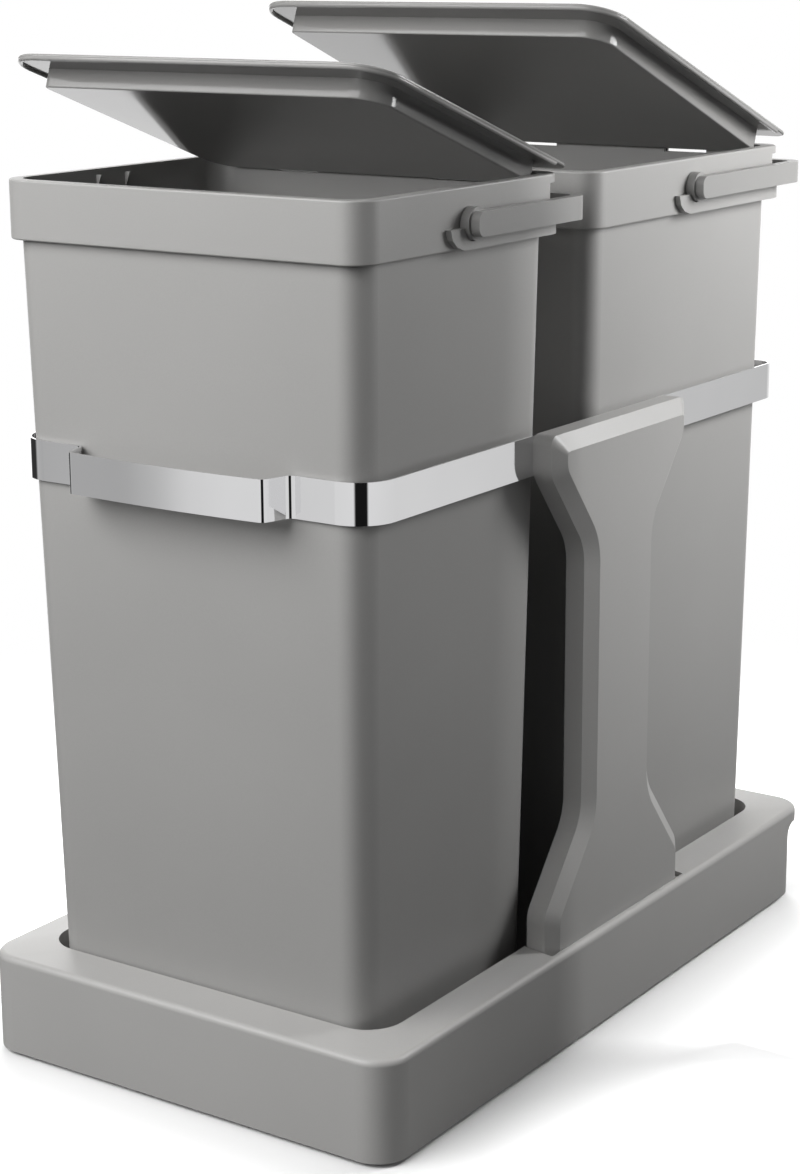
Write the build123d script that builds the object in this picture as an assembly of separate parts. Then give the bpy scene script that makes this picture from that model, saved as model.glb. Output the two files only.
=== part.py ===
from build123d import *
import os
from math import atan2, cos, radians, sin, tan

# Pull-out waste unit for a 300 mm kitchen base cabinet, in millimetres.
# X is the width (right is positive), Y the depth (the front is negative), Z is up.
# Everything is laid out with y = 0 at the tray's front and z = 0 on the cabinet floor,
# and each finished piece is then moved back by half the overall depth.

# ---------------------------------------------------------------- driving dimensions
# tray
tray_width = 260.0
tray_depth = 449.5
tray_height = 54.0  # outer edge of the rim above the skirt's lower edge
tray_crown = 2.0  # how much the rim rises towards the opening
tray_wall = 2.5
tray_corner = 18.0
tray_edge = 3.5  # rounding of the rim's outer edge
tray_floor_gap = 2.0  # running gap between the tray and the cabinet floor
tray_lip = 9.0  # how far the rim overhangs the back, over a cove of the same radius
tray_lip_height = 9.0
side_rim = 21.0  # width of the rim beside the opening
front_rim = 23.0
rear_rim = 15.5
mouth_corner = 20.0
well_floor = 3.0
well_clearance = 9.0  # underside of the well above the skirt's lower edge
rear_wall_lift = 3.0  # lower edge of the rear wall above the skirt's
runner_clearance = 1.5  # between the runners' tops and the lip's hollow
runner_side_gap = 0.4

# bins
collar_margin = 20.5  # from the tray's side in to the collar's
collar_height = 29.5
collar_wall = 1.8
collar_reach = 4.0  # how far the collar stands out from the body
collar_edge = 1.0
bin_wall = 2.0
bin_seat_gap = 0.3
bin_bottom_edge = 5.0
front_bin_start = 14.0
front_bin_depth = 173.0
front_rim_height = 460.5  # above the skirt's lower edge
front_draft = 0.0165
front_corner = 14.0
rear_bin_start = 221.0
rear_bin_depth = 214.0
rear_rim_height = 457.7
rear_draft = 0.010
rear_corner = 12.0
lip_reach = 4.2  # rear lip that carries the lid's hinge
lip_height = 4.5
slot_width = 28.0  # slots through the rear wall under the lip
slot_height = 2.0
bag_rib_depth = 3.2
bag_rib_height = 12.0
bag_rib_width = 1.4
bag_rib_places = (0.39, 0.52)  # shares of the bin's depth
bag_rib_drop = 3.0

# handle ledge on the collar
ledge_reach = 3.1
ledge_height = 10.5
ledge_nose = 12.0
bail_rest_width = 18.0
bail_rest_place = 70.0

# lids
lid_side_overhang = 3.0
front_lid_overhang = 0.2  # in front of the collar
rear_lid_overhang = 7.3
lid_thickness = 1.9
lid_edge = 0.9
lid_front_corner = 21.0
lid_rear_corner = 7.0
lid_rear_reach = 0.9  # behind the hinge's axis
lid_drop = 0.6  # underside below the hinge's axis
front_lid_gap = 0.3  # between the knuckles and the bin's rim
rear_lid_gap = 3.2
pan_inset_side = 12.5  # recessed pan inside the lid's flange
pan_inset_front = 20.0
pan_rear_gap = 9.6  # in front of the hinge's axis
pan_depth = 9.3
front_pan_fall = 1.5  # how much deeper the pan is at the hinge than at the front
rear_pan_fall = 3.2
pan_wall = 1.8
pan_edge = 0.8
pan_corner = 16.0  # right front and left rear corners
pan_tight_corner = 4.0  # left front corner
pan_rear_corner = 6.0  # right rear corner
front_lid_ajar = 18.9
rear_lid_ajar = 20.3

# lid hinges
hinge_station = 51.0
hinge_knuckle = 20.0
hinge_ear = 3.0
hinge_radius = 1.8
hinge_pin_radius = 0.95
hinge_running_gap = 0.05
hinge_side_gap = 0.4
hinge_rear_edge = 1.2  # from the axis to the end of the rear lip

# carrying bails
bail_height = 12.0
bail_thickness = 5.7
bail_bar = 6.5
bail_side_gap = 4.3  # between the collar and the arm
bail_corner = 12.0
bail_nose = 4.5
bail_edge = 0.9
front_bail_rise = 12.2  # centre line above the collar's lower edge
rear_bail_rise = 14.2
front_bail_pivot = 88.0  # behind the collar's front
rear_bail_pivot = 107.0
front_bail_gap = 7.2  # between the collar's rear and the crossbar
rear_bail_gap = 7.3
bail_boss_radius = 8.0
bail_boss_gap = 0.4
bail_pin_radius = 3.0
bail_pin_head_radius = 4.5
bail_pin_head = 1.0
bail_pin_bite = 7.0
bail_running_gap = 0.06
bail_rest_gap = 0.3

# chromed band
band_thickness = 1.2
band_height = 20.6
band_bottom = 310.3
band_side_gap = 0.6  # how far the band stands outside the collars' sides
band_front = 17.9
band_rear = 437.0
band_front_corner = 20.0
band_rear_corner = 10.0
handle_half_length = 60.0
handle_jog = 4.5
handle_bow = 2.3
handle_bend = 4.0
band_screw_spread = 42.0

# pillars that carry the band
pillar_centre = 232.0
pillar_top = 331.5
pillar_body = 10.9
pillar_bevel = 4.7
pillar_bevel_width = 8.5
pillar_head_half = 70.5
pillar_head_end = 311.0
pillar_neck_half = 36.0
pillar_neck_top = 268.0
pillar_neck_bottom = 120.0
pillar_foot_half = 72.5
pillar_foot_top = 75.0
pillar_corner = 5.0
pillar_blend = 28.0
pillar_wall = 3.0
pillar_ribs = (118.0, 170.0, 222.0, 274.0)
pillar_seat_depth = 2.5
pillar_seat_gap = 0.4
pillar_screw_spread = 56.0
pillar_screw_length = 14.0
pillar_boss_radius = 5.0

# telescopic runners
rail_length = 400.0
rail_start = 22.0
rail_height = 35.0
rail_thickness = 12.7
rail_steel = 1.2
rail_lift = 5.0  # lower edge above the cabinet floor
rail_screw_places = (60.0, 200.0, 340.0)
ball_radius = 1.5
ball_gap = 0.05
ball_count = 7
cage_length = 180.0
cage_steel = 0.6
buffer_length = 6.0

# steel frame on the cabinet floor
bracket_steel = 1.5
bracket_gap = 0.6  # between the tray's well and the bracket
bracket_foot = 20.0
plate_steel = 1.5
plate_depth = 46.0
plate_places = (82.0, 362.0)
floor_hole_radius = 2.5
floor_hole_inset = 12.1  # from the bracket's leg
rivet_radius = 2.0
rivet_head_radius = 3.2
rivet_head = 0.8
plate_rivet_offset = 15.0

# fasteners
screw_radius = 1.8
screw_head_radius = 3.4
screw_head = 1.6

# ---------------------------------------------------------------- worked-out places
half_tray = tray_width / 2
half_mouth = half_tray - side_rim
mouth_rear = tray_depth - rear_rim
rim_edge_z = tray_floor_gap + tray_height
rim_top_z = rim_edge_z + tray_crown
well_bottom_z = tray_floor_gap + well_clearance
well_top_z = well_bottom_z + well_floor
half_collar = half_tray - collar_margin
half_lid = half_collar + lid_side_overhang
bin_bottom_z = well_top_z + bin_seat_gap
band_z = tray_floor_gap + band_bottom
half_band = half_collar + band_side_gap
well_outer = half_mouth + tray_wall
bracket_x = well_outer + bracket_gap
floor_hole_x = bracket_x - floor_hole_inset
rail_x = bracket_x + bracket_steel
rail_mid_z = rail_lift + rail_height / 2
rail_end = rail_start + rail_length
seat_z = rim_edge_z - pillar_seat_depth
pillar_outer_x = half_band + pillar_body + pillar_bevel


def block(x0, x1, y0, y1, z0, z1):
    """Box between two opposite corners."""
    middle = Pos((x0 + x1) / 2, (y0 + y1) / 2, (z0 + z1) / 2)
    return middle * Box(abs(x1 - x0), abs(y1 - y0), abs(z1 - z0))


def plan(half_width, y_front, y_rear, corner, z):
    """Rounded rectangle seen from above, at height z."""
    shape = RectangleRounded(2 * half_width, y_rear - y_front, corner)
    return Pos(0, (y_front + y_rear) / 2, z) * shape


def prism(half_width, y_front, y_rear, corner, z0, z1):
    """Upright block with rounded corners."""
    return extrude(plan(half_width, y_front, y_rear, corner, z0), z1 - z0)


def rod_x(radius, x0, x1, y, z):
    """Round bar along X."""
    return Pos((x0 + x1) / 2, y, z) * Rot(0, 90, 0) * Cylinder(radius, abs(x1 - x0))


def rod_z(radius, x, y, z0, z1):
    """Round bar along Z."""
    return Pos(x, y, (z0 + z1) / 2) * Cylinder(radius, z1 - z0)


def side_profile(points, x0, x1):
    """Outline given as (y, z) points, swept along X from x0 to x1."""
    face = make_face(Polyline(*[(x0, y, z) for y, z in points], close=True))
    return extrude(face, x1 - x0, dir=(1, 0, 0))


def joined(pieces):
    """One shape from several."""
    total = pieces[0]
    for piece in pieces[1:]:
        total = total + piece
    return total


def group(pieces):
    """Separate solids kept together as one sub-part."""
    return Compound([solid for piece in pieces for solid in piece.solids()])


def mirrored(piece):
    """The same piece on the other side."""
    return mirror(piece, about=Plane.YZ)


# ---------------------------------------------------------------- the two bins
class BinPlace:
    """Named places of one bin, from which its lid, bail and pins also take theirs."""

    def __init__(
        self, start, depth, rim_height, draft, corner, ajar, pivot, bar_gap, rise, gap, overhang, fall
    ):
        self.front = start
        self.rear = start + depth
        self.corner = corner
        self.draft = draft
        self.ajar = ajar
        self.rim_z = tray_floor_gap + rim_height
        self.collar_z = self.rim_z - collar_height
        self.lip_end = self.rear + lip_reach
        self.hinge_y = self.lip_end - hinge_rear_edge
        self.hinge_z = self.rim_z + gap + hinge_radius
        self.bail_y = start + pivot
        self.bail_z = self.collar_z + rise
        self.bar_front = self.rear + bar_gap
        self.bar_rear = self.bar_front + bail_bar
        self.lid_front = start - overhang
        self.pan_fall = fall

    def inset_at(self, z):
        """How far the body lies inside the collar's outline at height z."""
        return collar_reach + (self.collar_z - z) * self.draft

    def section(self, z, wall=0.0):
        """Plan of the tapered body at height z, or of its inside for a wall."""
        inset = self.inset_at(z) + wall
        radius = self.corner - wall
        return plan(half_collar - inset, self.front + inset, self.rear - inset, radius, z)


front_place = BinPlace(
    front_bin_start, front_bin_depth, front_rim_height, front_draft,
    front_corner, front_lid_ajar, front_bail_pivot, front_bail_gap, front_bail_rise,
    front_lid_gap, front_lid_overhang, front_pan_fall,
)
rear_place = BinPlace(
    rear_bin_start, rear_bin_depth, rear_rim_height, rear_draft,
    rear_corner, rear_lid_ajar, rear_bail_pivot, rear_bail_gap, rear_bail_rise,
    rear_lid_gap, rear_lid_overhang, rear_pan_fall,
)

overall_depth = max(rear_place.bar_rear, tray_depth + tray_lip)
to_origin = Pos(0, -overall_depth / 2, 0)


def bin_collar(p):
    """Turned-down collar round the mouth, with the rear lip."""
    ring = prism(half_collar, p.front, p.rear, p.corner, p.collar_z, p.rim_z)
    lip = prism(half_collar, p.rear - 2 * p.corner, p.lip_end, p.corner, p.rim_z - lip_height, p.rim_z)
    ring = ring + lip
    ring = fillet(ring.edges().group_by(Axis.Z)[-1], collar_edge)
    ring = fillet(ring.edges().group_by(Axis.Z)[0], collar_edge)
    inner = half_collar - collar_wall
    hollow = prism(
        inner, p.front + collar_wall, p.rear - collar_wall, p.corner - collar_wall,
        p.collar_z - 1, p.rim_z - bin_wall,
    )
    return ring - hollow


def bin_ledge(p):
    """Belt low on the collar that runs from under each arm round the back."""
    top = p.collar_z + ledge_height
    outer = half_collar + ledge_reach
    belt = prism(
        outer, p.front, p.rear + ledge_reach, p.corner + ledge_reach, p.collar_z, top
    )
    inside = half_collar - collar_wall / 2
    belt = belt - prism(
        inside, p.front - 1, p.rear - collar_wall / 2, p.corner - collar_wall / 2,
        p.collar_z - 1, top + 1,
    )
    nose_y = p.bail_y - bail_boss_radius - ledge_nose
    nose = [
        (nose_y, top),
        (nose_y - 1, top + 1),
        (p.front - 2, top + 1),
        (p.front - 2, p.collar_z - 1),
        (nose_y + ledge_nose, p.collar_z - 1),
        (nose_y + ledge_nose, p.collar_z),
        (nose_y + ledge_nose / 2, p.collar_z + ledge_height * 0.18),
        (nose_y + ledge_nose / 7, p.collar_z + ledge_height * 0.52),
    ]
    recess = rod_x(bail_boss_radius + bail_boss_gap, -half_tray, half_tray, p.bail_y, p.bail_z)
    return belt - side_profile(nose, -half_tray, half_tray) - recess


def bail_rests(p):
    """Two lugs behind the collar on which the bail's crossbar lies."""
    top = p.bail_z - bail_height / 2 - bail_rest_gap
    rests = []
    for side in (-1, 1):
        x = side * bail_rest_place
        half = bail_rest_width / 2
        rests.append(
            block(x - half, x + half, p.rear - collar_wall, p.bar_front + bail_bar / 2, p.collar_z + 1, top)
        )
    return joined(rests)


def hinge_ears(p):
    """Two pairs of ears on the rear lip, bored for the hinge pins."""
    ears = []
    for side in (-1, 1):
        for end in (-1, 1):
            x = side * hinge_station + end * (hinge_knuckle / 2 + hinge_side_gap + hinge_ear / 2)
            x0 = x - hinge_ear / 2
            x1 = x + hinge_ear / 2
            ear = rod_x(hinge_radius, x0, x1, p.hinge_y, p.hinge_z)
            foot = block(x0, x1, p.hinge_y - hinge_radius, p.lip_end, p.rim_z - 1, p.hinge_z)
            ears.append(ear + foot)
    return joined(ears)


def bag_ribs(p):
    """Small upright ribs inside the side walls that pinch the edge of a bag."""
    ribs = []
    top = p.rim_z - bag_rib_drop
    for share in bag_rib_places:
        y = p.front + share * (p.rear - p.front)
        wall = half_collar - p.inset_at(top) - bin_wall
        tip = wall - bag_rib_depth
        outline = [(tip, top), (wall + 1, top), (wall + 1, top - bag_rib_height)]
        face = make_face(Polyline(*[(x, y, z) for x, z in outline], close=True))
        rib = extrude(face, bag_rib_width, dir=(0, 1, 0))
        ribs.append(rib)
        ribs.append(mirrored(rib))
    return joined(ribs)


def make_bin(p):
    """Tapered bin with its collar, ledge, hinge ears and slots."""
    outer = loft([p.section(bin_bottom_z), p.section(p.rim_z)], ruled=True)
    outer = fillet(outer.edges().group_by(Axis.Z)[0], bin_bottom_edge)
    shell = outer + bin_collar(p) + bin_ledge(p) + bail_rests(p) + hinge_ears(p)
    floor_z = bin_bottom_z + bin_wall
    cavity = loft([p.section(floor_z, bin_wall), p.section(p.rim_z + 1, bin_wall)], ruled=True)
    cavity = fillet(cavity.edges().group_by(Axis.Z)[0], bin_bottom_edge - bin_wall)
    shell = shell - cavity + bag_ribs(p)
    slot_z = p.rim_z - lip_height - slot_height
    radius = hinge_pin_radius
    for side in (-1, 1):
        x = side * hinge_station
        half = slot_width / 2
        shell = shell - block(
            x - half, x + half, p.rear - 4 * collar_reach, p.rear + 1, slot_z, slot_z + slot_height
        )
        shell = shell - rod_x(radius, x - slot_width, x + slot_width, p.hinge_y, p.hinge_z)
        skin = half_collar - collar_wall - 1
        shell = shell - rod_x(
            bail_pin_radius + bail_running_gap, side * skin, side * (half_collar + 1), p.bail_y, p.bail_z
        )
    return shell


def make_hinge_pins(p):
    """Steel pins through the ears and the lid's knuckles."""
    half = hinge_knuckle / 2 + hinge_side_gap + hinge_ear
    pins = []
    for side in (-1, 1):
        x = side * hinge_station
        pins.append(rod_x(hinge_pin_radius, x - half, x + half, p.hinge_y, p.hinge_z))
    return group(pins)


# ---------------------------------------------------------------- lids
def lid_plate(p):
    """Flat plate with rounded edges, rounder at the front corners than at the rear."""
    low = p.hinge_z - lid_drop
    high = low + lid_thickness
    rear = p.hinge_y + lid_rear_reach
    middle = (p.lid_front + rear) / 2
    plate = prism(half_lid, p.lid_front, rear, lid_front_corner, low, high)
    plate = plate + prism(half_lid, middle, rear, lid_rear_corner, low, high)
    levels = plate.edges().group_by(Axis.Z)
    return fillet(levels[0] + levels[-1], lid_edge)


def pan_floor(p, drop):
    """Side view of the space under the pan's sloping floor, drawn down by drop."""
    front = p.lid_front + pan_inset_front
    rear = p.hinge_y - pan_rear_gap
    deep = p.hinge_z - lid_drop - pan_depth - drop
    return [(front - 1, deep), (rear + 1, deep - p.pan_fall), (rear + 1, deep - 20), (front - 1, deep - 20)]


def pan_outside(p):
    """Block of the pan's outer faces, with a sloping floor and rounded lower edges."""
    half = half_lid - pan_inset_side
    front = p.lid_front + pan_inset_front
    rear = p.hinge_y - pan_rear_gap
    high = p.hinge_z - lid_drop + lid_thickness / 2
    body = block(-half, half, front, rear, high - pan_depth - 10, high)
    for corner_x, corner_y, radius in (
        (half, front, pan_corner),
        (-half, rear, pan_corner),
        (-half, front, pan_tight_corner),
        (half, rear, pan_rear_corner),
    ):
        uprights = body.edges().filter_by(Axis.Z)
        body = fillet(uprights.sort_by_distance((corner_x, corner_y, high))[0], radius)
    body = body - side_profile(pan_floor(p, 0.0), -half_lid, half_lid)
    return fillet(body.faces().sort_by(Axis.Z)[0].edges(), pan_edge)


def pan_hollow(p):
    """Space inside the pan, open at the top of the lid."""
    half = half_lid - pan_inset_side - pan_wall
    front = p.lid_front + pan_inset_front + pan_wall
    rear = p.hinge_y - pan_rear_gap - pan_wall
    top = p.hinge_z + lid_thickness
    body = prism(half, front, rear, pan_corner - pan_wall, top - pan_depth - 10, top)
    return body - side_profile(pan_floor(p, -pan_wall), -half_lid, half_lid)


def make_lid(p):
    """Thin flanged lid with a recessed pan and hinge knuckles, held ajar by its hinge."""
    lid = lid_plate(p) + pan_outside(p) - pan_hollow(p)
    half = hinge_knuckle / 2
    bore = hinge_pin_radius + hinge_running_gap
    notch = hinge_radius + hinge_side_gap
    for side in (-1, 1):
        x = side * hinge_station
        lid = lid + rod_x(hinge_radius, x - half, x + half, p.hinge_y, p.hinge_z)
        for end in (-1, 1):
            ear_x = x + end * (half + hinge_side_gap + hinge_ear / 2)
            reach = hinge_ear / 2 + hinge_side_gap
            lid = lid - block(
                ear_x - reach, ear_x + reach, p.hinge_y - notch, p.hinge_y + notch,
                p.hinge_z - notch, p.hinge_z + notch,
            )
        lid = lid - rod_x(bore, x - slot_width, x + slot_width, p.hinge_y, p.hinge_z)
    hinge = Axis((0, p.hinge_y, p.hinge_z), (1, 0, 0))
    return lid.rotate(hinge, -p.ajar)


# ---------------------------------------------------------------- bails
def make_bail(p):
    """U-shaped handle with a boss inside each arm's end."""
    inner = half_collar + bail_side_gap
    outer = inner + bail_thickness
    low = p.bail_z - bail_height / 2
    high = p.bail_z + bail_height / 2
    start = p.bail_y - bail_height / 2
    loop = prism(outer, start - bail_corner * 2, p.bar_rear, bail_corner, low, high)
    loop = loop - prism(
        inner, start - bail_corner * 3, p.bar_front, bail_corner - bail_thickness, low - 1, high + 1
    )
    loop = loop - block(-half_tray, half_tray, start - bail_corner * 3, start, low - 1, high + 1)
    nose_edges = loop.edges().filter_by(Axis.X).group_by(Axis.Y)[0]
    loop = fillet(nose_edges, bail_nose)
    for side in (-1, 1):
        face = side * (half_collar + bail_boss_gap)
        loop = loop + rod_x(bail_boss_radius, face, side * (inner + bail_edge), p.bail_y, p.bail_z)
        reach = side * (half_collar + bail_pin_bite)
        loop = loop - rod_x(bail_pin_radius, side * half_collar, reach, p.bail_y, p.bail_z)
    return loop


def make_bail_pins(p):
    """Headed pins that hold the bail to the collar and turn with it."""
    pins = []
    for side in (-1, 1):
        inner = half_collar - collar_wall
        head_face = inner - bail_rest_gap
        shank = rod_x(
            bail_pin_radius, side * head_face, side * (half_collar + bail_pin_bite), p.bail_y, p.bail_z
        )
        head = rod_x(
            bail_pin_head_radius, side * (head_face - bail_pin_head), side * head_face, p.bail_y, p.bail_z
        )
        pins.append(shank + head)
    return group(pins)


# ---------------------------------------------------------------- tray
def tray_body():
    """Outside of the tray: skirt, crowned rim and the coved lip at the back."""
    lip_z = rim_edge_z - tray_lip_height
    cove_z = lip_z - tray_lip
    skirt = prism(half_tray, 0, tray_depth, tray_corner, tray_floor_gap, cove_z)
    levels = []
    for angle in range(0, 105, 15):
        rear = tray_depth + tray_lip * (1 - cos(radians(angle)))
        levels.append(plan(half_tray, 0, rear, tray_corner, cove_z + tray_lip * sin(radians(angle))))
    cove = loft(levels, ruled=True)
    rim = prism(half_tray, 0, tray_depth + tray_lip, tray_corner, lip_z, rim_edge_z)
    rim = fillet(rim.edges().group_by(Axis.Z)[-1], tray_edge)
    crown = loft(
        [
            plan(
                half_tray - tray_edge, tray_edge, tray_depth + tray_lip - tray_edge,
                tray_corner - tray_edge, rim_edge_z,
            ),
            plan(half_mouth, front_rim, mouth_rear, mouth_corner, rim_top_z),
        ],
        ruled=True,
    )
    return skirt + cove + rim + crown


def make_tray():
    """Tray with a deep well for the bins and a hollow rim over the runners."""
    body = tray_body()
    mouth = prism(half_mouth, front_rim, mouth_rear, mouth_corner, well_top_z, rim_top_z + 1)
    hollow_half = rail_x + rail_thickness + runner_side_gap
    under = prism(
        hollow_half, tray_wall, tray_depth + 2 * tray_corner, tray_corner - tray_wall,
        0, rim_edge_z - tray_wall,
    )
    inside_rear = tray_depth - tray_wall
    under = under - block(
        -half_tray, half_tray, inside_rear, tray_depth + 2 * tray_corner,
        rail_lift + rail_height + runner_clearance, rim_edge_z,
    )
    under = under - block(
        -well_outer, well_outer, inside_rear, tray_depth + 2 * tray_corner,
        tray_floor_gap + rear_wall_lift, rim_edge_z,
    )
    well = prism(
        well_outer, front_rim - tray_wall, mouth_rear + tray_wall, mouth_corner + tray_wall,
        well_bottom_z, rim_edge_z,
    )
    seats = []
    for side in (-1, 1):
        x0 = side * well_outer
        x1 = side * hollow_half
        y0 = pillar_centre - pillar_foot_half - pillar_wall
        y1 = pillar_centre + pillar_foot_half + pillar_wall
        seats.append(block(x0, x1, y0, y1, seat_z - tray_wall, rim_edge_z))
        pad_x = side * (rail_x + rail_thickness)
        for place in rail_screw_places:
            y = rail_start + place
            seats.append(rod_x(rail_height / 5, pad_x, x1, y, rail_mid_z))
    tray = body - (under - well - joined(seats)) - mouth
    for side in (-1, 1):
        x0 = side * (half_mouth - 1)
        x1 = side * (pillar_outer_x + pillar_seat_gap)
        y0 = pillar_centre - pillar_foot_half - pillar_seat_gap
        y1 = pillar_centre + pillar_foot_half + pillar_seat_gap
        tray = tray - block(x0, x1, y0, y1, seat_z, rim_top_z + 1)
        for end in (-1, 1):
            y = pillar_centre + end * pillar_screw_spread
            tray = tray - rod_z(screw_radius, side * pillar_screw_x, y, seat_z - 2 * tray_wall, seat_z + 1)
        for place in rail_screw_places:
            tray = tray - rod_x(
                screw_radius, side * (rail_x + rail_thickness - 1), side * (half_tray - tray_wall / 2),
                rail_start + place, rail_mid_z,
            )
    return tray


# ---------------------------------------------------------------- pillars and band
pillar_screw_x = half_band + pillar_body / 2 + 1


def pillar_outline(x, inset, low):
    """Hourglass outline of a pillar on the plane at x, drawn in by inset."""
    top = tray_floor_gap + pillar_top - inset
    head = pillar_head_half - inset
    neck = pillar_neck_half - inset
    foot = pillar_foot_half - inset
    head_slope = atan2(pillar_head_half - pillar_neck_half, pillar_head_end - pillar_neck_top)
    foot_slope = atan2(pillar_foot_half - pillar_neck_half, pillar_neck_bottom - pillar_foot_top)
    rise = inset * tan(head_slope / 2)
    drop = inset * tan(foot_slope / 2)
    half = [
        (head, top),
        (head, tray_floor_gap + pillar_head_end + rise),
        (neck, tray_floor_gap + pillar_neck_top + rise),
        (neck, tray_floor_gap + pillar_neck_bottom - drop),
        (foot, tray_floor_gap + pillar_foot_top - drop),
        (foot, low),
    ]
    right = [(x, pillar_centre + y, z) for y, z in half]
    left = [(x, pillar_centre - y, z) for y, z in reversed(half)]
    outline = make_face(Polyline(*right, *left, close=True))
    corners = outline.vertices()
    top_pair = corners.filter_by(lambda v: abs(v.Z - top) < 0.01)
    neck_zs = (half[2][1], half[3][1])
    necks = corners.filter_by(lambda v: min(abs(v.Z - z) for z in neck_zs) < 0.01)
    shoulder_zs = (half[1][1], half[4][1])
    shoulders = corners.filter_by(lambda v: min(abs(v.Z - z) for z in shoulder_zs) < 0.01)
    outline = fillet(top_pair, pillar_corner - inset / 3)
    outline = fillet(
        [v for v in outline.vertices() if min(abs(v.Z - n.Z) + abs(v.Y - n.Y) for n in necks) < 0.01],
        pillar_blend + inset,
    )
    return fillet(
        [v for v in outline.vertices() if min(abs(v.Z - n.Z) + abs(v.Y - n.Y) for n in shoulders) < 0.01],
        pillar_blend / 2 - inset / 3,
    )


def make_pillar():
    """Right pillar: moulded cover with a bevelled face, ribs and screw bosses behind."""
    low = seat_z + pillar_seat_gap
    face_x = half_band + pillar_body
    body = extrude(pillar_outline(half_band, 0, low), pillar_body, dir=(1, 0, 0))
    bevel = loft(
        [pillar_outline(face_x, 0, low), pillar_outline(face_x + pillar_bevel, pillar_bevel_width, low)],
        ruled=True,
    )
    pillar = body + bevel
    hollow_depth = pillar_body - pillar_wall
    hollow = extrude(
        pillar_outline(half_band - 1, pillar_wall, low + pillar_wall), hollow_depth + 1, dir=(1, 0, 0)
    )
    wide = pillar_foot_half
    fill = []
    for z in pillar_ribs:
        fill.append(
            block(
                half_band, face_x, pillar_centre - wide, pillar_centre + wide,
                z - pillar_wall / 2, z + pillar_wall / 2,
            )
        )
    for end in (-1, 1):
        foot_y = pillar_centre + end * pillar_screw_spread
        fill.append(
            rod_z(pillar_boss_radius, pillar_screw_x, foot_y, low, low + pillar_screw_length + pillar_wall)
        )
        head_y = pillar_centre + end * band_screw_spread
        fill.append(rod_x(pillar_boss_radius, half_band, face_x, head_y, band_z + band_height / 2))
    hollow = hollow - joined(fill)
    pillar = pillar - hollow
    for end in (-1, 1):
        foot_y = pillar_centre + end * pillar_screw_spread
        pillar = pillar - rod_z(screw_radius, pillar_screw_x, foot_y, low - 1, low + pillar_screw_length)
        head_y = pillar_centre + end * band_screw_spread
        pillar = pillar - rod_x(
            screw_radius, half_band - 1, half_band + hollow_depth, head_y, band_z + band_height / 2
        )
    return pillar


def make_pillar_screws():
    """Screws from under the rim up into the pillars."""
    screws = []
    top = seat_z + pillar_seat_gap + pillar_screw_length
    seat = seat_z - tray_wall
    for side in (-1, 1):
        for end in (-1, 1):
            x = side * pillar_screw_x
            y = pillar_centre + end * pillar_screw_spread
            shank = rod_z(screw_radius, x, y, seat, top)
            screws.append(shank + rod_z(screw_head_radius, x, y, seat - screw_head, seat))
    return group(screws)


def band_outline():
    """Closed outline of the band from above, with the bowed handle at the front."""
    bend_y = handle_bow
    jog_x = handle_half_length + handle_jog
    chain = Polyline(
        (handle_half_length, bend_y),
        (jog_x, band_front),
        (half_band, band_front),
        (half_band, band_rear),
        (-half_band, band_rear),
        (-half_band, band_front),
        (-jog_x, band_front),
        (-handle_half_length, bend_y),
    )
    bow = ThreePointArc((-handle_half_length, bend_y), (0, 0), (handle_half_length, bend_y))
    face = make_face(chain + bow)
    bends = face.vertices().filter_by(lambda v: abs(v.X) < jog_x + 0.01)
    face = fillet(bends, handle_bend)
    sides = face.vertices().filter_by(lambda v: abs(abs(v.X) - half_band) < 0.01)
    fronts = sides.filter_by(lambda v: v.Y < band_rear / 2)
    face = fillet(fronts, band_front_corner)
    sides = face.vertices().filter_by(lambda v: abs(abs(v.X) - half_band) < 0.01)
    rears = sides.filter_by(lambda v: abs(v.Y - band_rear) < 0.01)
    return fillet(rears, band_rear_corner)


def make_band():
    """Chromed strip round both bins."""
    outline = band_outline()
    ring = outline - offset(outline, -band_thickness)
    band = Pos(0, 0, band_z) * extrude(ring, band_height)
    for side in (-1, 1):
        for end in (-1, 1):
            y = pillar_centre + end * band_screw_spread
            x0 = side * (half_band - 2 * band_thickness)
            band = band - rod_x(screw_radius, x0, side * (half_band + 1), y, band_z + band_height / 2)
    return band


def make_band_screws():
    """Screws through the band into the pillars."""
    screws = []
    inner = half_band - band_thickness
    reach = half_band + pillar_body - pillar_wall
    for side in (-1, 1):
        for end in (-1, 1):
            y = pillar_centre + end * band_screw_spread
            z = band_z + band_height / 2
            shank = rod_x(screw_radius, side * inner, side * reach, y, z)
            head = rod_x(screw_head_radius, side * (inner - screw_head), side * inner, y, z)
            screws.append(shank + head)
    return group(screws)


# ---------------------------------------------------------------- runners
outer_inside = rail_height / 2 - rail_steel
middle_outside = outer_inside - 2 * (ball_radius + ball_gap)
middle_inside = middle_outside - rail_steel
inner_outside = middle_inside - 2 * (ball_radius + ball_gap)
outer_ball_x = rail_x + 5.6
inner_ball_x = rail_x + 9.4
middle_web_x = rail_x + 5.4


def channel(x0, x1, web_x, outside):
    """Runner channel: an upright web and two flanges, its full length along Y."""
    low = rail_mid_z - outside
    high = rail_mid_z + outside
    web = block(web_x, web_x + rail_steel, rail_start, rail_end, low, high)
    lower = block(x0, x1, rail_start, rail_end, low, low + rail_steel)
    upper = block(x0, x1, rail_start, rail_end, high - rail_steel, high)
    return web + lower + upper


def rail_holes(x0, x1):
    """The three fastening holes along a runner."""
    return joined([rod_x(screw_radius, x0, x1, rail_start + y, rail_mid_z) for y in rail_screw_places])


def make_outer_rail():
    rail = channel(rail_x, rail_x + 8.0, rail_x, rail_height / 2)
    return rail - rail_holes(rail_x - 1, rail_x + 2 * rail_steel)


def make_middle_rail():
    return channel(rail_x + 3.8, rail_x + 11.0, middle_web_x, middle_outside)


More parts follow.
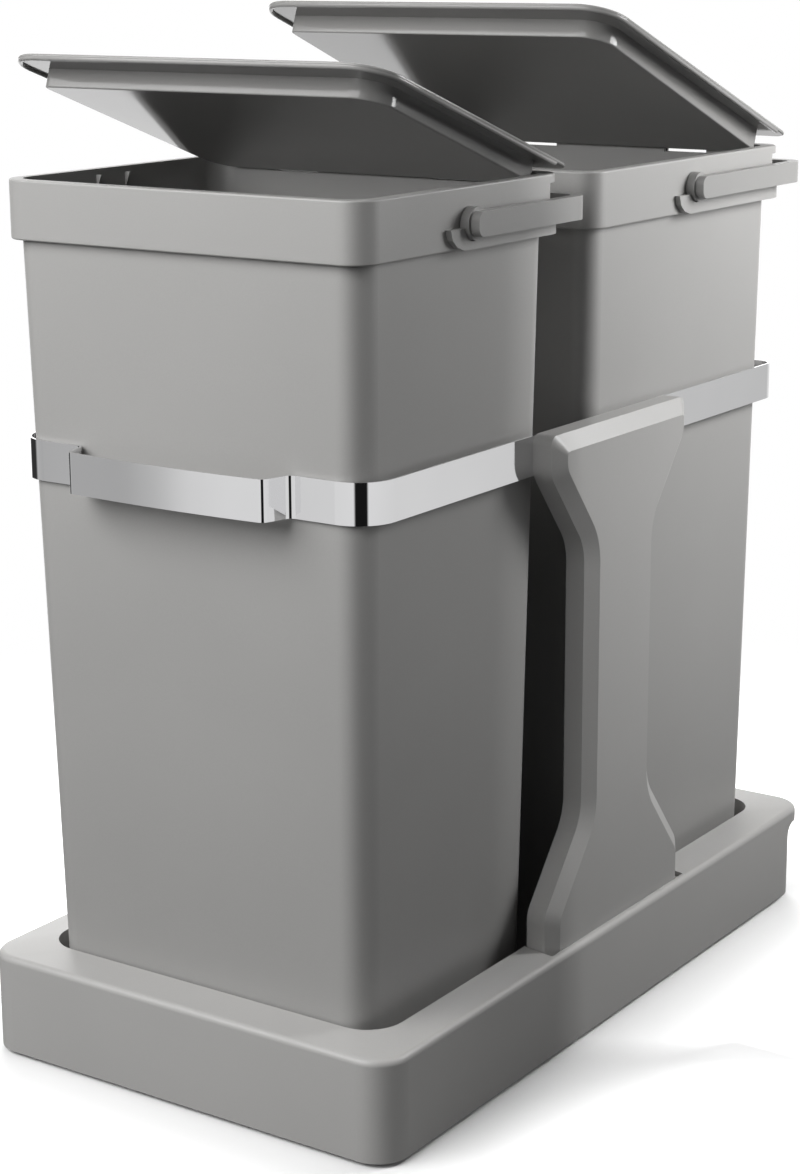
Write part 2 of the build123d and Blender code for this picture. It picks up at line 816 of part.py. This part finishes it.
def make_inner_rail():
    far = rail_x + rail_thickness
    rail = channel(rail_x + 8.2, far, far - rail_steel, inner_outside)
    return rail - rail_holes(far - 2 * rail_steel, far + 1)


def make_cage(web_x, strip_end, ball_x, reach, rise):
    """Ball cage: an upright strip, two bored flanges and the balls in them."""
    start = rail_start + (rail_length - cage_length) / 2
    end = start + cage_length
    web = block(web_x, web_x + cage_steel, start, end, rail_mid_z - rise, rail_mid_z + rise)
    cage = web
    balls = []
    pitch = cage_length / ball_count
    for side in (-1, 1):
        z = rail_mid_z + side * rise
        strip = block(web_x, strip_end, start, end, z, z - side * cage_steel)
        cage = cage + strip
        for index in range(ball_count):
            y = start + (index + 0.5) * pitch
            z_ball = rail_mid_z + side * reach
            cage = cage - rod_z(ball_radius + 2 * ball_gap, ball_x, y, z_ball - 3, z_ball + 3)
            balls.append(Pos(ball_x, y, z_ball) * Sphere(ball_radius))
    return group([cage, *balls])


def make_outer_cage():
    reach = (outer_inside + middle_outside) / 2
    return make_cage(rail_x + 2.4, rail_x + 7.6, outer_ball_x, reach, reach + cage_steel / 2)


def make_inner_cage():
    reach = (middle_inside + inner_outside) / 2
    return make_cage(rail_x + 7.1, rail_x + 10.9, inner_ball_x, reach, reach + cage_steel / 2)


def make_buffer():
    """Rubber block in the rear end of the outer runner."""
    low = rail_mid_z - middle_inside
    high = rail_mid_z + middle_inside
    x0 = rail_x + rail_steel
    return block(x0, rail_x + rail_thickness, rail_end, rail_end + buffer_length, low, high)


# ---------------------------------------------------------------- floor frame
foot_in = bracket_x + bracket_steel - bracket_foot
plate_half = bracket_x - 1


def make_bracket():
    """Right angle bracket: a foot on the cabinet floor and a leg for the runner."""
    start = rail_start
    end = rail_end + buffer_length
    leg = block(bracket_x, bracket_x + bracket_steel, start, end, 0, rail_lift + rail_height)
    foot = block(foot_in, bracket_x + bracket_steel, start, end, 0, bracket_steel)
    stop = block(
        bracket_x, rail_x + rail_thickness - 1, end, end + bracket_steel,
        rail_lift, rail_lift + rail_height,
    )
    bracket = leg + foot + stop
    bracket = bracket - rail_holes(bracket_x - 1, rail_x + 1)
    for y in plate_places:
        bracket = bracket - rod_z(floor_hole_radius, floor_hole_x, y, -1, bracket_steel + 1)
        for step in (-1, 1):
            rivet_y = y + step * plate_rivet_offset
            bracket = bracket - rod_z(rivet_radius, floor_hole_x, rivet_y, -1, bracket_steel + 1)
    return bracket


def make_cross_plate(y):
    """Flat plate that ties the two brackets together and takes the floor screws."""
    low = bracket_steel
    high = bracket_steel + plate_steel
    plate = prism(plate_half, y - plate_depth / 2, y + plate_depth / 2, 4.0, low, high)
    for side in (-1, 1):
        x = side * floor_hole_x
        plate = plate - rod_z(floor_hole_radius, x, y, low - 1, high + 1)
        for step in (-1, 1):
            plate = plate - rod_z(rivet_radius, x, y + step * plate_rivet_offset, low - 1, high + 1)
    return plate


def make_frame_rivets():
    """Rivets that join the cross plates to the brackets."""
    rivets = []
    high = bracket_steel + plate_steel
    for side in (-1, 1):
        for y in plate_places:
            for step in (-1, 1):
                x = side * floor_hole_x
                place = y + step * plate_rivet_offset
                shank = rod_z(rivet_radius, x, place, 0, high)
                rivets.append(shank + rod_z(rivet_head_radius, x, place, high, high + rivet_head))
    return group(rivets)


def make_rail_rivets():
    """Flat rivets that hold the outer runners to the brackets."""
    rivets = []
    for side in (-1, 1):
        for place in rail_screw_places:
            y = rail_start + place
            shank = rod_x(screw_radius, side * bracket_x, side * (rail_x + rail_steel), y, rail_mid_z)
            head_x = rail_x + rail_steel
            head = rod_x(rivet_head_radius, side * head_x, side * (head_x + rivet_head), y, rail_mid_z)
            rivets.append(shank + head)
    return group(rivets)


def make_tray_screws():
    """Screws that hold the tray's skirt to the inner runners."""
    screws = []
    web = rail_x + rail_thickness - rail_steel
    for side in (-1, 1):
        for place in rail_screw_places:
            y = rail_start + place
            shank = rod_x(screw_radius, side * web, side * (half_tray - tray_wall / 2), y, rail_mid_z)
            head = rod_x(screw_head_radius, side * (web - screw_head), side * web, y, rail_mid_z)
            screws.append(shank + head)
    return group(screws)


# ---------------------------------------------------------------- write every piece
def build_pieces():
    """All sub-parts by name, in the layout's own coordinates."""
    pieces = {
        "tray": make_tray(),
        "band": make_band(),
        "band_screws": make_band_screws(),
        "pillar_screws": make_pillar_screws(),
        "tray_screws": make_tray_screws(),
        "rail_rivets": make_rail_rivets(),
        "frame_rivets": make_frame_rivets(),
        "front_cross_plate": make_cross_plate(plate_places[0]),
        "rear_cross_plate": make_cross_plate(plate_places[1]),
    }
    for name, place in (("front", front_place), ("rear", rear_place)):
        pieces[name + "_bin"] = make_bin(place)
        pieces[name + "_lid"] = make_lid(place)
        pieces[name + "_hinge_pins"] = make_hinge_pins(place)
        pieces[name + "_bail"] = make_bail(place)
        pieces[name + "_bail_pins"] = make_bail_pins(place)
    paired = {
        "pillar": make_pillar(),
        "floor_bracket": make_bracket(),
        "outer_rail": make_outer_rail(),
        "middle_rail": make_middle_rail(),
        "inner_rail": make_inner_rail(),
        "outer_ball_cage": make_outer_cage(),
        "inner_ball_cage": make_inner_cage(),
        "rail_buffer": make_buffer(),
    }
    for name, piece in paired.items():
        pieces[name + "_right"] = piece
        pieces[name + "_left"] = mirrored(piece)
    return pieces


os.makedirs("parts", exist_ok=True)
for node, piece in build_pieces().items():
    export_step(to_origin * piece, "parts/" + node + ".step")
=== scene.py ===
import math

import bmesh
import bpy
from mathutils import Matrix, Vector


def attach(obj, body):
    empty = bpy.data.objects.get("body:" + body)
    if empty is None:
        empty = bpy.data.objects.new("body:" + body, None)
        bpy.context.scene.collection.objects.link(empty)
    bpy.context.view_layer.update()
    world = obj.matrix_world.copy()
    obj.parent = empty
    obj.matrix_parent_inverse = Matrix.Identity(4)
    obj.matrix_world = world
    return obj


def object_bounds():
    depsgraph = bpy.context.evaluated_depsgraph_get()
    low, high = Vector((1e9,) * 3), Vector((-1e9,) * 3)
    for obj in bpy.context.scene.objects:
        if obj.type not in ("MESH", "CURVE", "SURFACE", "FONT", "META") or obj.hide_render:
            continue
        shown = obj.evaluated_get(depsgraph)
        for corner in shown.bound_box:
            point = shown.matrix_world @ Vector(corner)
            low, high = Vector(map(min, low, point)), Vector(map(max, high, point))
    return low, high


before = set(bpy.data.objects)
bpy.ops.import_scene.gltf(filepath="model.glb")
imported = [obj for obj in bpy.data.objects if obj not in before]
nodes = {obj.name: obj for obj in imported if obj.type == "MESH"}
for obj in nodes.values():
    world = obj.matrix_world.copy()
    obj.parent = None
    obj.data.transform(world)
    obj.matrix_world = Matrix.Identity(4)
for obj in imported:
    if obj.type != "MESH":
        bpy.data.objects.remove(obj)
cad_low, cad_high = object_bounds()
scene = bpy.context.scene


# ---------------------------------------------------------------- node helpers
def even(level):
    """Neutral colour of one brightness."""
    return (level, level, level)


def scaled(colour, factor):
    """Colour made lighter or darker."""
    return tuple(channel * factor for channel in colour)


def new_material(name):
    """Empty node material with its shader and output."""
    material = bpy.data.materials.new(name)
    material.use_nodes = True
    tree = material.node_tree
    tree.nodes.clear()
    output = tree.nodes.new("ShaderNodeOutputMaterial")
    shader = tree.nodes.new("ShaderNodeBsdfPrincipled")
    tree.links.new(shader.outputs["BSDF"], output.inputs["Surface"])
    return material, tree, shader


def object_place(tree):
    """Coordinates fixed to the object, in metres."""
    return tree.nodes.new("ShaderNodeTexCoord").outputs["Object"]


def axes(tree, vector):
    """X, Y and Z of a vector."""
    node = tree.nodes.new("ShaderNodeSeparateXYZ")
    tree.links.new(vector, node.inputs["Vector"])
    return node.outputs


def noise(tree, vector, scale, detail, roughness=0.5):
    """Noise texture read at the given coordinates."""
    texture = tree.nodes.new("ShaderNodeTexNoise")
    texture.inputs["Scale"].default_value = scale
    texture.inputs["Detail"].default_value = detail
    texture.inputs["Roughness"].default_value = roughness
    tree.links.new(vector, texture.inputs["Vector"])
    return texture.outputs["Fac"]


def ramp(tree, factor, low, high, dark, light):
    """Colour ramp between two colours."""
    node = tree.nodes.new("ShaderNodeValToRGB")
    node.color_ramp.elements[0].position = low
    node.color_ramp.elements[1].position = high
    node.color_ramp.elements[0].color = (*dark, 1.0)
    node.color_ramp.elements[1].color = (*light, 1.0)
    tree.links.new(factor, node.inputs["Fac"])
    return node.outputs["Color"]


def spread(tree, factor, low, high, start=0.0, stop=1.0, smooth=False):
    """Maps a factor from start-stop to low-high."""
    node = tree.nodes.new("ShaderNodeMapRange")
    if smooth:
        node.interpolation_type = "SMOOTHSTEP"
    node.inputs["From Min"].default_value = start
    node.inputs["From Max"].default_value = stop
    node.inputs["To Min"].default_value = low
    node.inputs["To Max"].default_value = high
    tree.links.new(factor, node.inputs["Value"])
    return node.outputs["Result"]


def bump(tree, height, strength, distance):
    """Bump from a height."""
    node = tree.nodes.new("ShaderNodeBump")
    node.inputs["Strength"].default_value = strength
    node.inputs["Distance"].default_value = distance
    tree.links.new(height, node.inputs["Height"])
    return node.outputs["Normal"]


def colour_mix(tree, first, blend_type="MIX"):
    """Mix of two colours, of which the first is given."""
    node = tree.nodes.new("ShaderNodeMix")
    node.data_type = "RGBA"
    node.blend_type = blend_type
    tree.links.new(first, node.inputs["A"])
    return node


def math_of(tree, operation, first, second):
    """Result of a sum on two values."""
    node = tree.nodes.new("ShaderNodeMath")
    node.operation = operation
    tree.links.new(first, node.inputs[0])
    tree.links.new(second, node.inputs[1])
    return node.outputs["Value"]


def vector_math(tree, operation, vector):
    """Node that works on a vector, with any second one left to set."""
    node = tree.nodes.new("ShaderNodeVectorMath")
    node.operation = operation
    tree.links.new(vector, node.inputs[0])
    return node


def shader_mix(tree, factor, first, second):
    """Goes from the first shader to the second as the factor goes from 0 to 1."""
    node = tree.nodes.new("ShaderNodeMixShader")
    tree.links.new(factor, node.inputs["Fac"])
    tree.links.new(first, node.inputs[1])
    tree.links.new(second, node.inputs[2])
    return node.outputs["Shader"]


# ---------------------------------------------------------------- materials
# noise scales are in waves per metre, bump distances in metres
CLOUD_SCALE = 9.0
PATCH_SCALE = 22.0
SPARK_SCALE = 1500.0
SPARK_HEIGHT = 0.00006
SHARP_FROM, SHARP_TO = 0.52, 0.62  # pointiness over which an edge gets its painted highlight
# how strongly, and how much lighter, the painted edge highlight colours the plastic
EDGE_HIGHLIGHT_AMOUNT = 0.06
EDGE_LIGHTER = 1.35
DRAWN_LINES = (900.0, 18.0, 900.0)


def moulded_plastic(name, colour, rough, grain, gloss=0.5):
    """Grey moulded plastic: cloudy tone, fine spark-eroded grain, and a painted highlight on its
    sharp edges.
    """
    material, tree, shader = new_material(name)
    place = object_place(tree)
    cloud = noise(tree, place, CLOUD_SCALE, 3.0)
    tone = ramp(tree, cloud, 0.3, 0.7, scaled(colour, 0.975), scaled(colour, 1.02))
    speck = noise(tree, place, SPARK_SCALE, 2.0, 0.6)
    grained = colour_mix(tree, tone, "MULTIPLY")
    grained.inputs["Factor"].default_value = 1.0
    fine = ramp(tree, speck, 0.25, 0.8, even(0.965), even(1.02))
    tree.links.new(fine, grained.inputs["B"])
    # painted highlight: sharp edges are coloured lighter
    edge = tree.nodes.new("ShaderNodeNewGeometry").outputs["Pointiness"]
    edge_highlight = spread(tree, edge, 0.0, EDGE_HIGHLIGHT_AMOUNT, SHARP_FROM, SHARP_TO)
    highlighted = colour_mix(tree, grained.outputs["Result"])
    tree.links.new(edge_highlight, highlighted.inputs["Factor"])
    highlighted.inputs["B"].default_value = (*scaled(colour, EDGE_LIGHTER), 1.0)
    tree.links.new(highlighted.outputs["Result"], shader.inputs["Base Color"])
    patch = noise(tree, place, PATCH_SCALE, 4.0)
    tree.links.new(spread(tree, patch, rough - 0.04, rough + 0.05), shader.inputs["Roughness"])
    shader.inputs["IOR"].default_value = 1.5
    shader.inputs["Specular IOR Level"].default_value = gloss
    tree.links.new(bump(tree, speck, grain, SPARK_HEIGHT), shader.inputs["Normal"])
    return material


def chrome_plate(name):
    """Bright chrome: a mirror with the faint waviness of rolled strip."""
    material, tree, shader = new_material(name)
    place = object_place(tree)
    shader.inputs["Metallic"].default_value = 1.0
    wave = noise(tree, place, 14.0, 2.0)
    tone = ramp(tree, wave, 0.2, 0.8, (0.80, 0.80, 0.81), (0.86, 0.86, 0.865))
    tree.links.new(tone, shader.inputs["Base Color"])
    haze = noise(tree, place, 60.0, 5.0)
    tree.links.new(spread(tree, haze, 0.03, 0.075), shader.inputs["Roughness"])
    tree.links.new(bump(tree, wave, 0.05, 0.0004), shader.inputs["Normal"])
    return material


def zinc_plate(name):
    """Zinc-plated steel: satin, with fine drawn lines along the unit's depth."""
    material, tree, shader = new_material(name)
    mapping = tree.nodes.new("ShaderNodeMapping")
    mapping.inputs["Scale"].default_value = DRAWN_LINES
    tree.links.new(object_place(tree), mapping.inputs["Vector"])
    lines = noise(tree, mapping.outputs["Vector"], 1.0, 3.0)
    shader.inputs["Metallic"].default_value = 1.0
    tone = ramp(tree, lines, 0.3, 0.7, (0.50, 0.51, 0.53), (0.66, 0.67, 0.69))
    tree.links.new(tone, shader.inputs["Base Color"])
    tree.links.new(spread(tree, lines, 0.28, 0.42), shader.inputs["Roughness"])
    tree.links.new(bump(tree, lines, 0.2, 0.00005), shader.inputs["Normal"])
    return material


def black_rubber(name):
    """Matt black rubber with a fine grain."""
    material, tree, shader = new_material(name)
    grain = noise(tree, object_place(tree), 900.0, 4.0)
    tone = ramp(tree, grain, 0.3, 0.7, even(0.012), even(0.03))
    tree.links.new(tone, shader.inputs["Base Color"])
    tree.links.new(spread(tree, grain, 0.7, 0.85), shader.inputs["Roughness"])
    tree.links.new(bump(tree, grain, 0.3, 0.0001), shader.inputs["Normal"])
    return material


GREY = (0.335, 0.331, 0.324)
finishes = {
    "tray": moulded_plastic("tray_moulding", scaled(GREY, 1.28), 0.42, 0.25),
    "bin": moulded_plastic("bin_moulding", GREY, 0.45, 0.35),
    "lid": moulded_plastic("lid_moulding", scaled(GREY, 0.86), 0.09, 0.03, gloss=0.25),
    "bail": moulded_plastic("bail_moulding", scaled(GREY, 0.84), 0.4, 0.2),
    "pillar": moulded_plastic("pillar_moulding", scaled(GREY, 1.12), 0.4, 0.25),
    "chrome": chrome_plate("chromed_strip_finish"),
    "zinc": zinc_plate("zinc_plate_finish"),
    "rubber": black_rubber("buffer_rubber_finish"),
}


def finish_for(node):
    """Which finish a piece gets, by what its name says it is."""
    if node in ("front_bin", "rear_bin"):
        return "bin"
    if node == "tray":
        return "tray"
    if node == "band":
        return "chrome"
    for word in ("bail", "lid", "pillar"):
        if word in node and "screws" not in node:
            return word
    return "rubber" if "buffer" in node else "zinc"


for node, piece in nodes.items():
    piece.data.materials.clear()
    piece.data.materials.append(finishes[finish_for(node)])


# ---------------------------------------------------------------- rolled edges of the lids
HALF_DEPTH = 0.22925  # from the front of the unit to its middle
LID_HALF = 0.1125  # half of a lid's width
LID_CORNER = 0.021  # radius of its front corners, seen from above
LID_DROP = 0.0006  # from the hinge axis down to the underside of its flange
ROLL_RADIUS = 0.0015
ROLL_INSET = 0.0001  # how far the roll stays inside the lid's outline
ROLL_LIFT = 0.0001  # from that underside up to the middle of the roll
ROLL_END = 0.012  # where it stops, ahead of the hinge
ROLL_SIDES = 16
CORNER_STEPS = 12
LIDS = (
    # lid, its front edge and hinge when closed, hinge height, degrees ajar
    ("front_lid", 0.0138 - HALF_DEPTH, 0.190 - HALF_DEPTH, 0.4646, 18.9),
    ("rear_lid", 0.2137 - HALF_DEPTH, 0.438 - HALF_DEPTH, 0.4647, 20.3),
)


def roll_path(front, hinge_y):
    """Points along a closed lid's two sides and front, seen from above."""
    half = LID_HALF - ROLL_RADIUS - ROLL_INSET
    near = front + ROLL_RADIUS + ROLL_INSET
    corner = LID_CORNER - ROLL_RADIUS
    rear = hinge_y - ROLL_END
    points = [(-half, rear)]
    for side, first_angle in ((-1, math.pi), (1, 1.5 * math.pi)):
        centre = side * (half - corner)
        for step in range(CORNER_STEPS + 1):
            angle = first_angle + step * math.pi / (2 * CORNER_STEPS)
            x = centre + corner * math.cos(angle)
            points.append((x, near + corner + corner * math.sin(angle)))
    points.append((half, rear))
    return points


def roll_surface(path, level):
    """Corners and faces of a round bar along a path, closed at both ends."""
    vertices = []
    faces = []
    for index, (x, y) in enumerate(path):
        before = path[max(index - 1, 0)]
        after = path[min(index + 1, len(path) - 1)]
        along = Vector((after[0] - before[0], after[1] - before[1], 0.0)).normalized()
        side = Vector((along.y, -along.x, 0.0))
        for turn in range(ROLL_SIDES):
            angle = 2 * math.pi * turn / ROLL_SIDES
            spot = Vector((x, y, level)) + side * (ROLL_RADIUS * math.cos(angle))
            vertices.append(spot + Vector((0.0, 0.0, ROLL_RADIUS * math.sin(angle))))
    for index in range(len(path) - 1):
        for turn in range(ROLL_SIDES):
            a = index * ROLL_SIDES + turn
            b = index * ROLL_SIDES + (turn + 1) % ROLL_SIDES
            faces.append((a, b, b + ROLL_SIDES, a + ROLL_SIDES))
    last = (len(path) - 1) * ROLL_SIDES
    faces.append(tuple(reversed(range(ROLL_SIDES))))
    faces.append(tuple(last + turn for turn in range(ROLL_SIDES)))
    return vertices, faces


def edge_roll(lid, front, hinge_y, hinge_z, ajar):
    """Rolled rim that thickens a lid's free edges, as part of the same moulding."""
    path = roll_path(front, hinge_y)
    vertices, faces = roll_surface(path, hinge_z - LID_DROP + ROLL_LIFT)
    hinge = Vector((0.0, hinge_y, hinge_z))
    swing = Matrix.Rotation(math.radians(-ajar), 3, "X")
    mesh = bpy.data.meshes.new(lid + "_edge_roll")
    mesh.from_pydata([hinge + swing @ (vertex - hinge) for vertex in vertices], [], faces)
    graph = bmesh.new()
    graph.from_mesh(mesh)
    bmesh.ops.recalc_face_normals(graph, faces=graph.faces)
    graph.to_mesh(mesh)
    graph.free()
    for face in mesh.polygons:
        face.use_smooth = len(face.vertices) == 4
    mesh.materials.append(finishes["lid"])
    piece = bpy.data.objects.new(lid + "_edge_roll", mesh)
    scene.collection.objects.link(piece)
    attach(piece, lid)


for lid_place in LIDS:
    edge_roll(*lid_place)


# ---------------------------------------------------------------- floor
FLOOR_SIZE = 8.0
FLOOR_LEVEL = -0.0005
FADE_FROM, FADE_TO = 0.30, 0.75  # distance from the middle over which the floor fades out
GLOW_FROM, GLOW_TO = -0.01, 0.09  # distance outside the footprint over which the glow grows out of its painted shadow
# glow at the footprint, kept low there as a painted contact shadow, and far from it
GLOW_LEAST, GLOW_MOST = 0.03, 0.6
FLOOR_BOUNCE = 0.16  # how much light the floor gives back to the unit


def footprint_distance(tree, place):
    """How far a point of the floor is outside the unit's footprint."""
    beyond = vector_math(tree, "SUBTRACT", vector_math(tree, "ABSOLUTE", place).outputs["Vector"])
    beyond.inputs[1].default_value = (cad_high[0], cad_high[1], 0.0)
    parts = axes(tree, beyond.outputs["Vector"])
    return math_of(tree, "MAXIMUM", parts["X"], parts["Y"])


def pale_floor():
    """Pale studio floor that fades into the white surroundings far from the unit, with a painted
    shadow near it.
    """
    bpy.ops.mesh.primitive_plane_add(size=FLOOR_SIZE, location=(0.0, 0.0, FLOOR_LEVEL))
    floor = bpy.context.object
    floor.name = "studio_floor"
    material, tree, shader = new_material("pale_floor")
    place = object_place(tree)
    grain = noise(tree, place, 3.0, 3.0)
    tone = ramp(tree, grain, 0.3, 0.7, even(0.90), even(0.915))
    tree.links.new(tone, shader.inputs["Base Color"])
    shader.inputs["Roughness"].default_value = 0.6
    shader.inputs["Emission Color"].default_value = (*even(1.0), 1.0)
    outside = footprint_distance(tree, place)
    # painted shadow: the floor glows less close to the unit's footprint
    glow_with_painted_shadow = spread(tree, outside, GLOW_LEAST, GLOW_MOST, GLOW_FROM, GLOW_TO, smooth=True)
    tree.links.new(glow_with_painted_shadow, shader.inputs["Emission Strength"])
    away = vector_math(tree, "LENGTH", place).outputs["Value"]
    fade = spread(tree, away, 0.0, 1.0, FADE_FROM, FADE_TO, smooth=True)
    dim = tree.nodes.new("ShaderNodeBsdfDiffuse")
    dim.inputs["Color"].default_value = (*even(FLOOR_BOUNCE), 1.0)
    clear = tree.nodes.new("ShaderNodeBsdfTransparent")
    seen = tree.nodes.new("ShaderNodeLightPath").outputs["Is Camera Ray"]
    shown = shader_mix(tree, seen, dim.outputs["BSDF"], shader.outputs["BSDF"])
    output = next(n for n in tree.nodes if n.type == "OUTPUT_MATERIAL")
    faded = shader_mix(tree, fade, shown, clear.outputs["BSDF"])
    tree.links.new(faded, output.inputs["Surface"])
    floor.data.materials.append(material)


# ---------------------------------------------------------------- surroundings and lamps
FILL = 0.07
FILL_COLOUR = (0.97, 0.98, 1.0)
MIRROR_GAIN = 3.0
# compass direction in degrees (0 is +X, 90 is +Y) and the brightness of the card there
MIRRORED_CARDS = (
    (-180, 0.012), (-165, 0.012), (-157, 0.17), (-134, 0.14), (-130, 0.18), (-127, 0.24),
    (-122, 0.26), (-71, 0.27), (-66, 0.003), (-35, 0.003), (-30, 0.27), (40, 0.25),
    (56, 0.245), (66, 0.18), (80, 0.25), (99, 0.35), (103, 0.012), (111, 0.012),
    (115, 0.6), (150, 0.6), (165, 0.012), (180, 0.012),
)


def mirrored_cards(tree):
    """Brightness of the cards by compass direction."""
    parts = axes(tree, tree.nodes.new("ShaderNodeTexCoord").outputs["Generated"])
    turn = math_of(tree, "ARCTAN2", parts["Y"], parts["X"])
    around = spread(tree, turn, 0.0, 1.0, -math.pi, math.pi)
    cards = tree.nodes.new("ShaderNodeValToRGB")
    stops = cards.color_ramp.elements
    stops[0].position = 0.0
    stops[1].position = 1.0
    for degrees, level in MIRRORED_CARDS[1:-1]:
        stops.new((degrees + 180.0) / 360.0).color = (*even(level), 1.0)
    stops[0].color = (*even(MIRRORED_CARDS[0][1]), 1.0)
    stops[len(stops) - 1].color = (*even(MIRRORED_CARDS[-1][1]), 1.0)
    tree.links.new(around, cards.inputs["Fac"])
    return cards.outputs["Color"]


def background(tree, colour, strength):
    """World light of one colour."""
    node = tree.nodes.new("ShaderNodeBackground")
    node.inputs["Color"].default_value = (*colour, 1.0)
    node.inputs["Strength"].default_value = strength
    return node


def white_surroundings():
    """White room to the camera, light and dark cards to mirrors, and a dim fill to the rest."""
    world = bpy.data.worlds.new("white_room")
    scene.world = world
    world.use_nodes = True
    tree = world.node_tree
    tree.nodes.clear()
    output = tree.nodes.new("ShaderNodeOutputWorld")
    mirrored = background(tree, even(1.0), MIRROR_GAIN)
    tree.links.new(mirrored_cards(tree), mirrored.inputs["Color"])
    room = background(tree, even(1.0), 1.0).outputs["Background"]
    fill = background(tree, FILL_COLOUR, FILL).outputs["Background"]
    path = tree.nodes.new("ShaderNodeLightPath").outputs
    lit = shader_mix(tree, path["Is Glossy Ray"], fill, mirrored.outputs["Background"])
    shown = shader_mix(tree, path["Is Camera Ray"], lit, room)
    tree.links.new(shown, output.inputs["Surface"])


def softbox(name, place, target, size, power, in_mirrors=True):
    """Rectangular area light aimed at a point."""
    data = bpy.data.lights.new(name, "AREA")
    data.shape = "RECTANGLE"
    data.size, data.size_y = size
    data.energy = power
    light = bpy.data.objects.new(name, data)
    scene.collection.objects.link(light)
    light.location = place
    aim = Vector(target) - Vector(place)
    light.rotation_euler = aim.to_track_quat("-Z", "Y").to_euler()
    light.visible_glossy = in_mirrors


def black_flag(name, near_x, far_x, y, height):
    """Upright black card beside the set, seen only by the light."""
    corners = [(near_x, y, 0.0), (far_x, y, 0.0), (far_x, y, height), (near_x, y, height)]
    mesh = bpy.data.meshes.new(name)
    mesh.from_pydata(corners, [], [(0, 1, 2, 3)])
    flag = bpy.data.objects.new(name, mesh)
    scene.collection.objects.link(flag)
    material, tree, shader = new_material(name + "_cloth")
    weave = noise(tree, object_place(tree), 400.0, 2.0)
    tone = ramp(tree, weave, 0.3, 0.7, even(0.004), even(0.01))
    tree.links.new(tone, shader.inputs["Base Color"])
    shader.inputs["Roughness"].default_value = 0.9
    mesh.materials.append(material)
    flag.visible_camera = False
    flag.visible_glossy = False


pale_floor()
white_surroundings()
# place, point aimed at, size in metres and power in watts
softbox("key_left", (-0.3, -1.02, 0.98), (0.0, -0.2, 0.34), (1.1, 0.9), 19.5)
softbox("top", (-0.3, 0.2, 1.9), (0.0, 0.0, 0.3), (0.9, 0.9), 3.0, in_mirrors=False)
softbox("left_rear", (-1.1, 1.3, 0.95), (0.0, 0.1, 0.25), (1.1, 1.1), 26.0, in_mirrors=False)
softbox("right_rear", (0.5, 0.35, 0.6), (0.1, 0.1, 0.35), (0.3, 0.3), 4.2)
black_flag("flag_right", near_x=0.2, far_x=0.24, y=0.0, height=0.75)


# ---------------------------------------------------------------- camera
CAMERA_PLACE = (0.751002, -1.126712, 0.573264)
CAMERA_YAW = math.radians(34.304)
CAMERA_PITCH = math.radians(14.451)
CAMERA_ROLL = math.radians(-0.283)
SENSOR_HEIGHT = 24.0
FOCAL_PIXELS = 2495.638
PHOTO_HEIGHT = 1174.0


def photo_camera():
    """Camera at the photograph's place, turn, tilt, roll and field of view."""
    forward = Vector((
        -math.sin(CAMERA_YAW) * math.cos(CAMERA_PITCH),
        math.cos(CAMERA_YAW) * math.cos(CAMERA_PITCH),
        -math.sin(CAMERA_PITCH),
    ))
    level = Vector((math.cos(CAMERA_YAW), math.sin(CAMERA_YAW), 0.0))
    upright = level.cross(forward)
    right = math.cos(CAMERA_ROLL) * level + math.sin(CAMERA_ROLL) * upright
    up = -math.sin(CAMERA_ROLL) * level + math.cos(CAMERA_ROLL) * upright
    data = bpy.data.cameras.new("photo_camera")
    data.sensor_fit = "VERTICAL"
    data.sensor_height = SENSOR_HEIGHT
    data.lens = SENSOR_HEIGHT * FOCAL_PIXELS / PHOTO_HEIGHT
    data.clip_start = 0.05
    data.clip_end = 60.0
    camera = bpy.data.objects.new("photo_camera", data)
    scene.collection.objects.link(camera)
    turn = Matrix((right, up, -forward)).transposed().to_4x4()
    camera.matrix_world = Matrix.Translation(CAMERA_PLACE) @ turn
    scene.camera = camera


photo_camera()
scene.view_settings.view_transform = "Standard"
scene.view_settings.look = "None"
